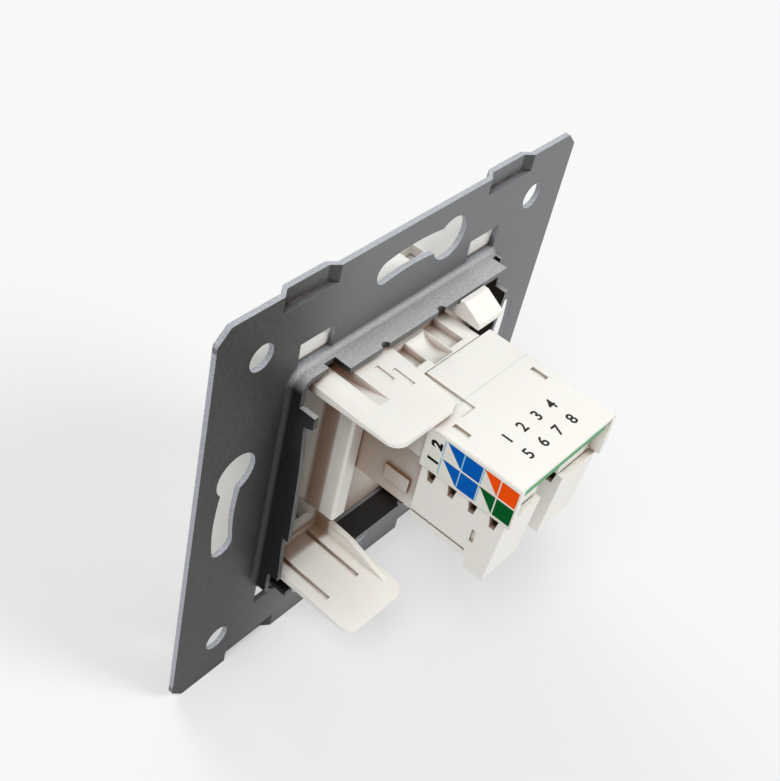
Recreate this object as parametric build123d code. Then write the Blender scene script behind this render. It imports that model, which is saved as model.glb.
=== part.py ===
from build123d import *
import os

# Ethernet socket insert, in millimetres. X runs to the left as seen from behind, Y runs from
# the front face to the rear, Z is up. The origin is the centre of the plate's back face.

# Pressed mounting plate
plate_margin = 5.5
sheet = 0.8
bend_r = 0.8
corner_cut = 2.0
screw_pitch = 55.0
screw_hole_r = 2.05
window_pitch_x = 34.2
window_pitch_z = 47.2
window_width = 6.5
window_height = 3.9

# Keyholes for the wall-box screws, bent along one circle
key_circle_r = 30.0
key_slot_width = 3.8
key_head_r = 3.4
key_head_angle = 15.8
key_tail_angle = 10.0
key_count = 4

# Tabs lanced out of the top and bottom edges
tab_pitch = 40.0
tab_width = 9.9
tab_ramp = 1.3
tab_drop = 0.95
tab_strip = 2.7
tab_slit = 0.1
tab_bend_r = 0.5

# Collar turned up around the central opening
collar_outer = 42.5
collar_corner_r = 2.0
collar_height = 4.0
corner_height = 2.2
relief_height = 1.3
relief_width = 2.1
relief_start = 14.6
slot_relief_width = 0.9
slot_relief_start = 18.7
nick_r = 0.7
nick_left = 7.6
nick_right = 4.0
tooth_height = 4.8
tooth_start = 15.0
tooth_width = 2.0
dip_height = 3.4
dip_width = 1.3
step_height = 4.5
step_place = 6.9
step_width = 1.6

# Carrier that snaps into the collar and holds the jack
fit_gap = 0.25
flange_lap = 1.15
flange_thickness = 1.6
floor_rear = -0.5
guide_wall = 2.9
guide_wall_end = 4.3
guide_wall_bottom = -10.2
bay_margin = 1.8
bay_half = 16.4
edge_round = 0.5
tongue_end = 16.0
tongue_root_z = 19.66
tongue_tip_z = 19.25
tongue_root_thickness = 2.1
tongue_tip_thickness = 0.85
tongue_outer_root_x = 18.4
tongue_outer_tip_x = 18.7
tongue_inner_root_x = 5.7
tongue_inner_tip_x = 6.4
tongue_tip_r = 2.0
tongue_edge_cut = 1.2
tongue_edge_slope = 0.6
root_groove_x = 14.2
root_groove_width = 1.9
root_groove_depth = 1.6
root_groove_end = 9.8
outer_grooves = ((10.1, 4.7, 7.7), (8.6, 6.4, 9.9))
groove_width = 0.7
outer_groove_depth = 0.25
inner_groove_places = (10.1, 16.4)
inner_groove_depth = 0.9
inner_groove_end = 9.9
rib_x = 7.5
rib_thickness = 0.9
rib_root_z = 14.5
rib_knee_y = 6.0
rib_knee_z = 15.8
hook_near_x = 8.0
hook_far_x = 13.3
hook_end = 8.0
hook_top_z = 20.85
hook_tip_z = 19.0
hook_thickness = 1.9
hook_gap = 0.1
holder_end = 8.4
holder_left_x = 4.2
holder_right_x = 8.0
pocket_depth = 1.1
pocket_left = (1.8, 4.0, 3.0, 7.0)
pocket_right = (-5.6, -2.7, 2.0, 7.4)
scoop_left = -2.4
scoop_right = 1.5
scoop_r = 3.4
scoop_y = 5.6
scoop_rise = 2.2

# Front cover
cover_margin = 2.25
cover_wall = 1.6
cover_front = -9.8
cover_front_wall = 1.6
cover_corner_r = 1.5
cover_edge_r = 0.6
cover_gap = 0.2
catch_pitch = 15.0
catch_width = 2.6
catch_slot_width = 3.0
catch_front = -6.0
catch_rear = -4.0
catch_gap = 0.15
catch_bump = 0.5
skirt_front = -7.0
skirt_wall = 1.4

# Plug port
port_width = 11.9
port_height = 8.4
port_floor_z = 4.3
port_depth = 12.5
key_wide = 6.4
key_wide_depth = 1.5
key_narrow = 3.6
key_narrow_depth = 1.2
aperture_margin = 0.3

# Jack
jack_front_gap = 0.1
nose_half = 8.3
nose_floor_z = -1.0
nose_top_z = 16.0
nose_rear = 15.0
window_gap = 0.12
shoulder_step = 0.5
shoulder_front = 8.5
shoulder_bottom_z = 10.8
jack_top_z = 17.5
cover_rear = 29.8
cover_front_edge = 14.9
cap_skin = 0.5
jack_cover_half = 10.75
jack_cover_side = 0.9
jack_cover_bottom_z = 10.3
snap_slot_inset = 2.25
snap_slot_width = 0.8
snap_slot_start = 17.0
snap_slot_end = 19.6
snap_slot_depth = 0.4
rail_lift = 0.5
rail_low_z = 1.5
rail_high_z = 4.0
rail_front = 9.0
rail_rear = 13.2
side_channel = (3.7, 6.4)
side_channel_depth = 0.4
end_pocket_end = 16.8
end_pocket_depth = 0.3

# Circuit board
board_thickness = 1.1
board_front = 9.2
board_rear = 29.75
board_left_margin = 1.0
board_right_margin = 2.55
board_gap = 0.1
board_hole_r = 0.35

# Spring contacts of the port
contact_count = 8
contact_pitch = 1.02
contact_width = 0.4
contact_thickness = 0.25
contact_run_z = 13.75
contact_front = -5.2
contact_bend_r = 0.5
contact_tip_y = 2.5
contact_tip_z = 9.3
contact_tail_y = 11.0
contact_tail_step = 2.4
comb_half = 4.6
comb_bottom_z = 12.9
comb_rear = 14.6
comb_front = -5.8
comb_slot = 0.5
comb_gap = 0.1

# Terminal blocks, their wire slots and their forked contacts
idc_count = 4
idc_pitch = 3.45
idc_first_y = 16.9
channel_half = 2.5
block_bottom_z = 3.0
block_rear = 28.05
block_side_gap = 0.1
wire_slot = 1.0
wire_slot_top_z = 9.4
blade_x = 6.3
blade_thickness = 0.4
blade_width = 1.2
blade_bottom_z = 5.4
blade_fork = 0.3
blade_fork_top_z = 9.0
blade_tail_width = 0.4
blade_gap = 0.05

# Pull-off caps under the terminal blocks
cap_step = 0.45
cap_wall = 0.75
cap_gap = 0.1
cap_front = 15.2
cap_rear_low = 28.35
cap_rear_high = 29.0
cap_top_z = 9.9
cap_bottom_z = 0.3
cap_floor = 0.8
cap_groove_z = 1.25
cap_groove_height = 0.35
cap_groove_depth = 0.3
cap_groove_end = 24.6
cap_notch_wide = 1.5
cap_notch_narrow = 0.8
cap_notch_bottom_z = 8.0
cap_slit_y = 24.8
cap_slit_width = 0.6
cap_slit_low_z = 3.5
cap_slit_high_z = 5.7
foot_front = 25.3
foot_bottom_z = -1.5
pusher_width = 0.8
pusher_top_z = 6.6
pusher_gap = 0.25

# Colour-code labels
label_thickness = 0.1
label_front = 16.0
label_margin = 0.35

plate_half = key_circle_r + plate_margin
plate_size = 2 * plate_half
collar_half = collar_outer / 2
opening_half = collar_half - sheet
spigot_half = opening_half - fit_gap
flange_half = opening_half + flange_lap
flange_front = -sheet - flange_thickness
cover_half = collar_half + cover_margin
cover_size = 2 * cover_half
guide_wall_inner = nose_half + window_gap
guide_wall_outer = guide_wall_inner + guide_wall
jack_front = cover_front + cover_front_wall + jack_front_gap
port_end = jack_front + port_depth
shoulder_half = jack_cover_half - shoulder_step
snap_slot_x = jack_cover_half - snap_slot_inset
board_left_x = jack_cover_half - board_left_margin
board_right_x = board_right_margin - jack_cover_half
cap_outer = jack_cover_half - cap_step
board_top_z = jack_top_z - cap_skin
board_bottom_z = board_top_z - board_thickness
wire_rows = [idc_first_y + idc_pitch * row for row in range(idc_count)]


def block(x_low, x_high, y_low, y_high, z_low, z_high):
    """Block between six planes."""
    middle = Pos((x_low + x_high) / 2, (y_low + y_high) / 2, (z_low + z_high) / 2)
    return middle * Box(x_high - x_low, y_high - y_low, z_high - z_low)


def along_x(points, x_low, x_high):
    """Profile drawn in Y and Z, extruded along X."""
    face = Plane.YZ.offset(x_low) * Polygon(*points, align=None)
    return extrude(face, amount=x_high - x_low, dir=(1, 0, 0))


def along_z(sketch, z_low, z_high):
    """Sketch in X and Y, extruded up Z."""
    return extrude(Plane.XY.offset(z_low) * sketch, amount=z_high - z_low, dir=(0, 0, 1))


def along_y(sketch, y_low, y_high):
    """Sketch in X and Z, extruded along Y."""
    return extrude(Plane.XZ.offset(-y_low) * sketch, amount=y_high - y_low, dir=(0, 1, 0))


def mirrored_z(shape):
    """Copy of a shape in the level plane through the origin."""
    return mirror(shape, about=Plane.XY)


def mirrored_x(shape):
    """Copy of a shape in the upright middle plane."""
    return mirror(shape, about=Plane.YZ)


def keyhole(turn):
    """Bent slot with a round head, on the keyhole circle."""
    start = turn - key_tail_angle
    path = CenterArc((0, 0), key_circle_r, start, key_tail_angle + key_head_angle)
    head = Rot(0, 0, turn + key_head_angle) * Pos(key_circle_r, 0) * Circle(key_head_r)
    return SlotArc(path, key_slot_width) + head


def plate_outline():
    """Flat blank of the plate with its round holes and keyholes."""
    blank = Rectangle(plate_size, plate_size)
    blank = chamfer(blank.vertices(), corner_cut)
    blank -= GridLocations(screw_pitch, screw_pitch, 2, 2) * Circle(screw_hole_r)
    for number in range(key_count):
        blank -= keyhole(number * 360 / key_count)
    return blank


def lanced_tab():
    """Edge strip joggled forward between two ramps, at the middle of the top edge."""
    half = tab_width / 2
    flat = half - tab_ramp
    points = [
        (-half, 0),
        (-flat, -tab_drop),
        (flat, -tab_drop),
        (half, 0),
        (half, -sheet),
        (flat, -tab_drop - sheet),
        (-flat, -tab_drop - sheet),
        (-half, -sheet),
    ]
    profile = Polygon(*points, align=None)
    bends = [corner for corner in profile.vertices() if abs(corner.X) < half - tab_ramp / 2]
    profile = fillet(bends, tab_bend_r)
    inner = plate_half - tab_strip
    return along_z(profile, inner + tab_slit, plate_half)


def tab_clearance():
    """Slit and strip removed from the blank behind one tab."""
    half = tab_width / 2
    return block(-half, half, -2 * sheet, sheet, plate_half - tab_strip, plate_half + sheet)


def edge_cut(marks):
    """Waste above the rear edge of the top collar wall, from marks of place and height."""
    waste = tooth_height + sheet
    points = [(marks[0][0], waste)] + list(marks) + [(marks[-1][0], waste)]
    low = opening_half - sheet / 2
    return along_z(Polygon(*points, align=None), low, collar_half + sheet / 2)


def top_edge_marks():
    """Rear edge of the top and bottom walls: a slot at one corner, a notch at the other."""
    end = collar_half + sheet
    slot_end = slot_relief_start + slot_relief_width
    notch_end = relief_start + relief_width
    return [
        (-end, corner_height),
        (-slot_end, corner_height),
        (-slot_end, relief_height),
        (-slot_relief_start, relief_height),
        (-slot_relief_start, collar_height),
        (relief_start, collar_height),
        (relief_start, relief_height),
        (notch_end, relief_height),
        (notch_end, corner_height),
        (end, corner_height),
    ]


def side_edge_marks():
    """Rear edge of the side walls: a tooth near one corner and a step near the middle."""
    end = collar_half + sheet
    tooth_end = tooth_start + tooth_width
    return [
        (-end, corner_height),
        (-tooth_end, corner_height),
        (-tooth_end, tooth_height),
        (-tooth_start, tooth_height),
        (-tooth_start + dip_width / 3, dip_height),
        (-tooth_start + dip_width, dip_height),
        (-step_place, collar_height),
        (step_place, step_height),
        (step_place, collar_height - sheet / 2),
        (step_place + step_width, collar_height - sheet / 2),
        (tooth_start, collar_height),
        (tooth_start + sheet, collar_height),
        (tooth_start + sheet, corner_height),
        (end, corner_height),
    ]


def collar():
    """Upturned wall round the opening, with its edge cut wall by wall."""
    outer = RectangleRounded(collar_outer, collar_outer, collar_corner_r)
    inner = RectangleRounded(2 * opening_half, 2 * opening_half, collar_corner_r - sheet)
    ring = along_y(outer - inner, -sheet, tooth_height)
    for turn in (0, 180):
        ring -= Rot(0, turn, 0) * edge_cut(top_edge_marks())
    for turn in (90, 270):
        ring -= Rot(0, turn, 0) * edge_cut(side_edge_marks())
    for place in (nick_left, -nick_right):
        nick = Pos(place, collar_height, collar_half) * Cylinder(nick_r, 4 * sheet)
        ring -= nick
        ring -= Rot(0, 180, 0) * nick
    return ring


def bend_edges(plate, y, half):
    """Edges of the collar's root on one face of the sheet."""
    edges = plate.edges().filter_by_position(Axis.Y, y - 0.01, y + 0.01)
    root = []
    for edge in edges:
        middle = edge.center()
        reach = max(abs(middle.X), abs(middle.Z))
        if half - collar_corner_r / 2 < reach < half + 0.01:
            root.append(edge)
    return root


def mounting_plate():
    """Pressed sheet with its collar, keyholes, holes, windows and lanced tabs."""
    plate = along_y(plate_outline(), -sheet, 0)
    plate -= block(-opening_half, opening_half, -2 * sheet, sheet, -opening_half, opening_half)
    plate += collar()
    plate = fillet(bend_edges(plate, 0, collar_half), bend_r)
    window = Rectangle(window_width, window_height)
    windows = Sketch() + GridLocations(window_pitch_x, window_pitch_z, 2, 2) * window
    plate -= along_y(windows, -2 * sheet, relief_height)
    for side in (-1, 1):
        place = Pos(side * tab_pitch / 2, 0, 0)
        plate -= place * tab_clearance()
        plate -= mirrored_z(place * tab_clearance())
        plate += place * lanced_tab()
        plate += mirrored_z(place * lanced_tab())
    return plate


def port_sketch(margin):
    """Outline of the plug port in X and Z, widened by a margin."""
    middle_z = port_floor_z + port_height / 2
    outline = Pos(0, middle_z) * Rectangle(port_width + 2 * margin, port_height + 2 * margin)
    wide_low = port_floor_z - key_wide_depth - margin
    wide = Rectangle(key_wide + 2 * margin, port_floor_z - wide_low, align=(Align.CENTER, Align.MIN))
    outline += Pos(0, wide_low) * wide
    narrow_low = wide_low - key_narrow_depth
    narrow = Rectangle(key_narrow + 2 * margin, key_narrow_depth, align=(Align.CENTER, Align.MIN))
    return outline + Pos(0, narrow_low) * narrow


def tongue_z(y):
    """Height of the tongue's outer face at a distance from the plate's back face."""
    share = (y - floor_rear) / (tongue_end - floor_rear)
    return tongue_root_z + (tongue_tip_z - tongue_root_z) * share


def tongue():
    """Upper left finger of the carrier, with its grooves."""
    tip_inner_z = tongue_tip_z - tongue_tip_thickness
    root_inner_z = tongue_root_z - tongue_root_thickness
    side = [
        (flange_front, tongue_root_z),
        (floor_rear, tongue_root_z),
        (tongue_end, tongue_tip_z),
        (tongue_end, tip_inner_z),
        (floor_rear, root_inner_z),
        (flange_front, root_inner_z),
    ]
    slab = along_x(side, tongue_inner_root_x - 1, tongue_outer_tip_x + 1)
    plan = Polygon(
        (tongue_outer_root_x, flange_front),
        (tongue_outer_tip_x, tongue_end),
        (tongue_inner_tip_x, tongue_end),
        (tongue_inner_root_x, collar_height),
        (tongue_inner_root_x, flange_front),
        align=None,
    )
    tips = plan.vertices().sort_by(Axis.Y)[-2:]
    plan = fillet(tips, tongue_tip_r)
    shape = slab & along_z(plan, 0, plate_half)
    edge_start = tongue_outer_root_x - tongue_edge_cut
    edge_end = tongue_outer_tip_x + 1
    edge_low = tongue_root_z - tongue_edge_slope * (edge_end - edge_start)
    edge = Polygon(
        (edge_start, tongue_root_z),
        (edge_end, edge_low),
        (edge_end, plate_half),
        (edge_start, plate_half),
        align=None,
    )
    shape -= along_y(edge, flange_front - 1, tongue_end + 1)
    shape -= along_x(
        [
            (floor_rear, tongue_root_z - root_groove_depth),
            (collar_height, tongue_z(collar_height) - root_groove_depth),
            (root_groove_end, tongue_z(root_groove_end)),
            (root_groove_end, tongue_root_z + 1),
            (floor_rear, tongue_root_z + 1),
        ],
        root_groove_x - root_groove_width / 2,
        root_groove_x + root_groove_width / 2,
    )
    for place, start, end in outer_grooves:
        shape -= along_x(
            [
                (start, tongue_z(start) - outer_groove_depth),
                (end, tongue_z(end) - outer_groove_depth),
                (end, tongue_root_z + 1),
                (start, tongue_root_z + 1),
            ],
            place - groove_width / 2,
            place + groove_width / 2,
        )
    slope = (root_inner_z - tip_inner_z) / (tongue_end - floor_rear)
    for place in inner_groove_places:
        end_z = root_inner_z - slope * (inner_groove_end - floor_rear)
        shape -= along_x(
            [
                (floor_rear, 0),
                (inner_groove_end, 0),
                (inner_groove_end, end_z + inner_groove_depth / 2),
                (floor_rear, root_inner_z + inner_groove_depth),
            ],
            place - groove_width / 2,
            place + groove_width / 2,
        )
    return shape


def lower_rib():
    """Tapered rib along the free edge of the lower tongue, drawn for the upper one."""
    root_z = tongue_root_z - tongue_root_thickness / 2
    tip_z = tongue_tip_z - tongue_tip_thickness / 2
    points = [
        (skirt_front, rib_root_z),
        (rib_knee_y, rib_knee_z),
        (tongue_end - tongue_tip_r / 2, tip_z),
        (floor_rear, root_z),
        (skirt_front, root_z),
    ]
    return along_x(points, rib_x - rib_thickness / 2, rib_x + rib_thickness / 2)


def snap_hook():
    """Upper right finger, whose wedge catches behind the collar's rear edge."""
    catch_y = collar_height + hook_gap
    arm_z = spigot_half - hook_gap
    points = [
        (flange_front, arm_z),
        (catch_y, arm_z),
        (catch_y, hook_top_z),
        (catch_y + sheet, hook_top_z),
        (hook_end, hook_tip_z),
        (hook_end, hook_tip_z - hook_thickness / 2),
        (catch_y, arm_z - hook_thickness),
        (flange_front, arm_z - hook_thickness),
    ]
    return along_x(points, -hook_far_x, -hook_near_x)


def jack_holder():
    """Ledge over the jack's nose, with two pockets and a finger scoop."""
    low = nose_top_z + window_gap
    ledge = block(-holder_right_x, holder_left_x, flange_front, holder_end, low, jack_top_z)
    for x_low, x_high, y_low, y_high in (pocket_left, pocket_right):
        ledge -= block(x_low, x_high, y_low, y_high, jack_top_z - pocket_depth, jack_top_z + 1)
    scoop = Rot(0, 90, 0) * Cylinder(scoop_r, scoop_right - scoop_left)
    middle_x = (scoop_left + scoop_right) / 2
    return ledge - Pos(middle_x, scoop_y, jack_top_z + scoop_rise) * scoop


def carrier_skirt():
    """Wall forward of the flange that plugs into the front cover, with four catches."""
    outer = Rectangle(2 * flange_half, 2 * flange_half)
    inner_size = 2 * (flange_half - skirt_wall)
    skirt = along_y(outer - Rectangle(inner_size, inner_size), skirt_front, flange_front)
    catch = along_x(
        [
            (catch_front + catch_gap, flange_half),
            (catch_rear - catch_gap, flange_half),
            (catch_rear - catch_gap, flange_half + cover_gap + catch_bump),
        ],
        -catch_width / 2,
        catch_width / 2,
    )
    for side in (-1, 1):
        placed = Pos(side * catch_pitch / 2, 0, 0) * catch
        skirt += placed
        skirt += mirrored_z(placed)
    return skirt


def left_bay():
    """Open space in the floor between the jack's guide wall and the collar's left side."""
    outer = spigot_half - bay_margin
    rear = floor_rear + sheet
    bay = block(guide_wall_outer, outer, skirt_front, rear, -bay_half, bay_half)
    low_x = rib_x + rib_thickness / 2
    return bay + block(low_x, outer, skirt_front, rear, -bay_half, guide_wall_bottom)


def guide_wall_beside_jack():
    """Upright wall that guides the jack's left side, under the upper tongue."""
    top = tongue_root_z - tongue_root_thickness / 2
    wall = block(guide_wall_inner, guide_wall_outer, skirt_front, guide_wall_end, guide_wall_bottom, top)
    rear_edges = wall.edges().group_by(Axis.Y)[-1].filter_by(Axis.Z)
    return fillet(rear_edges, edge_round)


def insert_carrier():
    """Moulded carrier: flange, floor, guide wall, tongues, hooks and jack holder."""
    flange = Rectangle(2 * flange_half, 2 * flange_half)
    body = along_y(flange, flange_front, -sheet)
    spigot = RectangleRounded(2 * spigot_half, 2 * spigot_half, collar_corner_r - sheet)
    body += along_y(spigot, flange_front, floor_rear)
    body -= left_bay()
    body += carrier_skirt()
    body += guide_wall_beside_jack()
    body += tongue()
    body += mirrored_z(tongue() + lower_rib())
    body += snap_hook()
    body += mirrored_z(snap_hook())
    body += jack_holder()
    half = nose_half + window_gap
    low = nose_floor_z - window_gap
    high = nose_top_z + window_gap
    body -= block(-half, half, skirt_front, floor_rear + sheet, low, high)
    return body


def front_cover():
    """Square cover with the port aperture and four catch slots."""
    shell = block(-cover_half, cover_half, cover_front, -sheet, -cover_half, cover_half)
    shell = fillet(shell.edges().filter_by(Axis.Y), cover_corner_r)
    shell = fillet(shell.faces().sort_by(Axis.Y)[0].edges(), cover_edge_r)
    inner = cover_half - cover_wall
    shell -= block(-inner, inner, cover_front + cover_front_wall, 0, -inner, inner)
    shell -= along_y(port_sketch(aperture_margin), cover_front - 1, 0)
    slot_half = catch_slot_width / 2
    for side in (-1, 1):
        middle = side * catch_pitch / 2
        low_x = middle - slot_half
        high_x = middle + slot_half
        shell -= block(low_x, high_x, catch_front, catch_rear, -cover_size, -inner + 1)
        shell -= block(low_x, high_x, catch_front, catch_rear, inner - 1, cover_size)
    return shell


def jack_housing():
    """Jack body with the plug port, contact well, shoulder and board pocket."""
    body = block(-nose_half, nose_half, jack_front, nose_rear, nose_floor_z, nose_top_z)
    body += block(
        -shoulder_half,
        shoulder_half,
        shoulder_front,
        cover_front_edge,
        shoulder_bottom_z,
        jack_top_z,
    )
    body -= block(
        -nose_half - 1,
        nose_half + 1,
        cover_front_edge,
        nose_rear + 1,
        shoulder_bottom_z,
        jack_top_z + 1,
    )
    for side in (-1, 1):
        rail_x = sorted((side * nose_half, side * (nose_half + rail_lift)))
        body += block(*rail_x, rail_front, rail_rear, rail_low_z, rail_high_z)
    channel_low = jack_top_z - side_channel_depth
    body -= block(*side_channel, 0, nose_rear + 1, channel_low, jack_top_z + 1)
    body -= along_y(port_sketch(0), jack_front - 1, port_end)
    well = comb_half + comb_gap
    well_front = comb_front - comb_gap
    body -= block(-well, well, well_front, nose_rear + 1, comb_bottom_z - comb_gap, board_bottom_z)
    body -= block(-well, well, well_front, port_end, port_floor_z + port_height / 2, comb_bottom_z)
    body -= block(
        board_right_x - board_gap,
        board_left_x + board_gap,
        board_front - board_gap,
        nose_rear + 1,
        board_bottom_z,
        board_top_z,
    )
    return body


def contact_places():
    """Centre of each spring contact along X, and the Y of its tail."""
    middle = (contact_count - 1) / 2
    places = []
    for number in range(contact_count):
        tail_y = contact_tail_y + contact_tail_step * (number % 2)
        places.append(((number - middle) * contact_pitch, tail_y))
    return places


def contact_comb():
    """Insulator that spaces the spring contacts, with one groove and one tail hole for each."""
    comb = block(-comb_half, comb_half, comb_front, comb_rear, comb_bottom_z, board_bottom_z)
    groove_top = contact_run_z + contact_thickness / 2
    for x, tail_y in contact_places():
        low = x - comb_slot / 2
        high = x + comb_slot / 2
        tail_end = tail_y + comb_slot / 2
        comb -= block(low, high, comb_front - 1, tail_end, comb_bottom_z - 1, groove_top)
        comb -= block(low, high, tail_y - comb_slot / 2, tail_end, groove_top, board_bottom_z + 1)
    front_stop = contact_front - contact_thickness
    comb -= block(-comb_half - 1, comb_half + 1, front_stop, port_end, 0, comb_bottom_z + comb_gap)
    return comb


def socket_contact(x, tail_y):
    """One spring wire: tail through the board, level run, front bend and sloping spring leg."""
    path = FilletPolyline(
        (tail_y, board_top_z),
        (tail_y, contact_run_z),
        (contact_front, contact_run_z),
        (contact_tip_y, contact_tip_z),
        radius=contact_bend_r,
    )
    outline = trace(path, contact_thickness)
    low = x - contact_width / 2
    return extrude(Plane.YZ.offset(low) * outline, amount=contact_width, dir=(1, 0, 0))


def circuit_board():
    """Board over the housing and the terminal blocks, with a hole for each contact tail."""
    board = block(board_right_x, board_left_x, board_front, board_rear, board_bottom_z, board_top_z)
    hole = Cylinder(board_hole_r, 3 * board_thickness)
    for x, tail_y in contact_places():
        board -= Pos(x, tail_y, board_top_z) * hole
    for side in (-1, 1):
        for y in wire_rows:
            board -= Pos(side * blade_x, y, board_top_z) * hole
    return board


def jack_rear_cover():
    """Bridge-shaped cover over the board, with a flange down each side."""
    inner = jack_cover_half - jack_cover_side
    half = jack_cover_half
    shape = block(-half, half, cover_front_edge, cover_rear, jack_cover_bottom_z, jack_top_z)
    shape -= block(-inner, inner, 0, cover_rear + 1, jack_cover_bottom_z - 1, board_top_z)
    long_edges = shape.edges().filter_by(Axis.Y).group_by(Axis.Z)[-1]
    shape = fillet(long_edges, edge_round)
    for side in (-1, 1):
        low = side * snap_slot_x - snap_slot_width / 2
        high = low + snap_slot_width
        slot_z = jack_top_z - snap_slot_depth
        shape -= block(low, high, snap_slot_start, snap_slot_end, slot_z, jack_top_z + 1)
    pocket_z = jack_top_z - end_pocket_depth
    shape -= block(*side_channel, 0, end_pocket_end, pocket_z, jack_top_z + 1)
    return shape


def terminal_block():
    """Left block under the board, with wire slots open below and a pocket for each blade."""
    top_half = jack_cover_half - jack_cover_side - block_side_gap
    lower_outer = cap_outer - cap_wall - cap_gap
    lower_inner = channel_half + cap_wall + cap_gap
    neck_z = cap_top_z + cap_gap
    body = block(channel_half, top_half, nose_rear, block_rear, neck_z, board_bottom_z)
    body += block(lower_inner, lower_outer, cap_front, block_rear, block_bottom_z, neck_z)
    pocket_x = blade_thickness / 2 + blade_gap
    pocket_y = blade_width / 2 + blade_gap
    for y in wire_rows:
        body -= block(0, cap_outer, y - wire_slot / 2, y + wire_slot / 2, 0, wire_slot_top_z)
        body -= block(
            blade_x - pocket_x,
            blade_x + pocket_x,
            y - pocket_y,
            y + pocket_y,
            blade_bottom_z - blade_gap,
            board_bottom_z + 1,
        )
    return body


def idc_contact(x, y):
    """Forked blade that grips one wire, with a tail into the board."""
    half_x = blade_thickness / 2
    blade = block(
        x - half_x,
        x + half_x,
        y - blade_width / 2,
        y + blade_width / 2,
        blade_bottom_z,
        board_bottom_z - blade_gap,
    )
    mouth = [
        (y - blade_width / 2, blade_bottom_z - 1),
        (y - blade_fork / 2, blade_bottom_z + blade_width / 2),
        (y - blade_fork / 2, blade_fork_top_z),
        (y + blade_fork / 2, blade_fork_top_z),
        (y + blade_fork / 2, blade_bottom_z + blade_width / 2),
        (y + blade_width / 2, blade_bottom_z - 1),
    ]
    blade -= along_x(mouth, x - 1, x + 1)
    tail_half = blade_tail_width / 2
    blade += block(x - half_x, x + half_x, y - tail_half, y + tail_half, blade_fork_top_z, board_top_z)
    return blade


def cap_side_profile():
    """Side view of a cap's outline, with its leaning rear end and its foot."""
    lean = (cap_rear_high - cap_rear_low) / (cap_top_z - foot_bottom_z)
    bottom_rear = cap_rear_low + lean * (cap_bottom_z - foot_bottom_z)
    return [
        (cap_front, cap_bottom_z),
        (foot_front, cap_bottom_z),
        (foot_front, foot_bottom_z),
        (cap_rear_low, foot_bottom_z),
        (bottom_rear, cap_bottom_z),
        (cap_rear_high, cap_top_z),
        (cap_front, cap_top_z),
    ]


def idc_cap():
    """Left pull-off cap, which presses the wires into the forked contacts."""
    cap = along_x(cap_side_profile(), channel_half, cap_outer)
    inner = channel_half + cap_wall
    outer = cap_outer - cap_wall
    rear = block_rear + cap_gap
    cap -= block(inner, outer, cap_front - 1, rear, cap_bottom_z + cap_floor, cap_top_z + 1)
    for y in wire_rows:
        notch = [
            (y - cap_notch_wide / 2, cap_top_z + cap_gap),
            (y - cap_notch_narrow / 2, cap_notch_bottom_z),
            (y + cap_notch_narrow / 2, cap_notch_bottom_z),
            (y + cap_notch_wide / 2, cap_top_z + cap_gap),
        ]
        cap -= along_x(notch, 0, cap_outer + 1)
        pusher = block(
            inner,
            outer,
            y - pusher_width / 2,
            y + pusher_width / 2,
            cap_bottom_z + cap_floor,
            pusher_top_z,
        )
        gap = blade_thickness / 2 + pusher_gap
        slot_bottom = blade_bottom_z - pusher_gap
        pusher -= block(blade_x - gap, blade_x + gap, y - 1, y + 1, slot_bottom, cap_top_z)
        cap += pusher
    groove_x = cap_outer - cap_groove_depth
    groove_top = cap_groove_z + cap_groove_height
    cap -= block(groove_x, cap_outer + 1, cap_front - 1, cap_groove_end, cap_groove_z, groove_top)
    slit_end = cap_slit_y + cap_slit_width
    slit_x = cap_outer - cap_wall / 2
    cap -= block(slit_x, cap_outer + 1, cap_slit_y, slit_end, cap_slit_low_z, cap_slit_high_z)
    return cap


def label():
    """Left label on the rear cover's flange."""
    low_z = jack_cover_bottom_z + label_margin
    high_z = jack_top_z - edge_round
    outer = jack_cover_half + label_thickness
    return block(jack_cover_half, outer, label_front, cover_rear - label_thickness, low_z, high_z)


def save(shape, node):
    """Write one node's STEP file."""
    export_step(shape, f"parts/{node}.step")


def main():
    """Build every piece and write its file."""
    os.makedirs("parts", exist_ok=True)
    save(mounting_plate(), "mounting_plate")
    save(insert_carrier(), "insert_carrier")
    save(front_cover(), "front_cover")
    save(jack_housing(), "jack_housing")
    save(jack_rear_cover(), "jack_rear_cover")
    save(circuit_board(), "circuit_board")
    save(contact_comb(), "contact_comb")
    save(terminal_block(), "terminal_block_left")
    save(mirrored_x(terminal_block()), "terminal_block_right")
    save(idc_cap(), "idc_cap_left")
    save(mirrored_x(idc_cap()), "idc_cap_right")
    save(label(), "label_left")
    save(mirrored_x(label()), "label_right")
    for number, (x, tail_y) in enumerate(contact_places(), start=1):
        save(socket_contact(x, tail_y), f"socket_contact_{number}")
    number = 1
    for side in (1, -1):
        for y in wire_rows:
            save(idc_contact(side * blade_x, y), f"idc_contact_{number}")
            number += 1


if __name__ == "__main__":
    main()
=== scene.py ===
import logging
import math
from dataclasses import dataclass, field
from enum import Enum
from typing import Dict, List, Sequence, Tuple, Union

import bmesh
import bpy
from mathutils import Matrix, Vector


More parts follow.
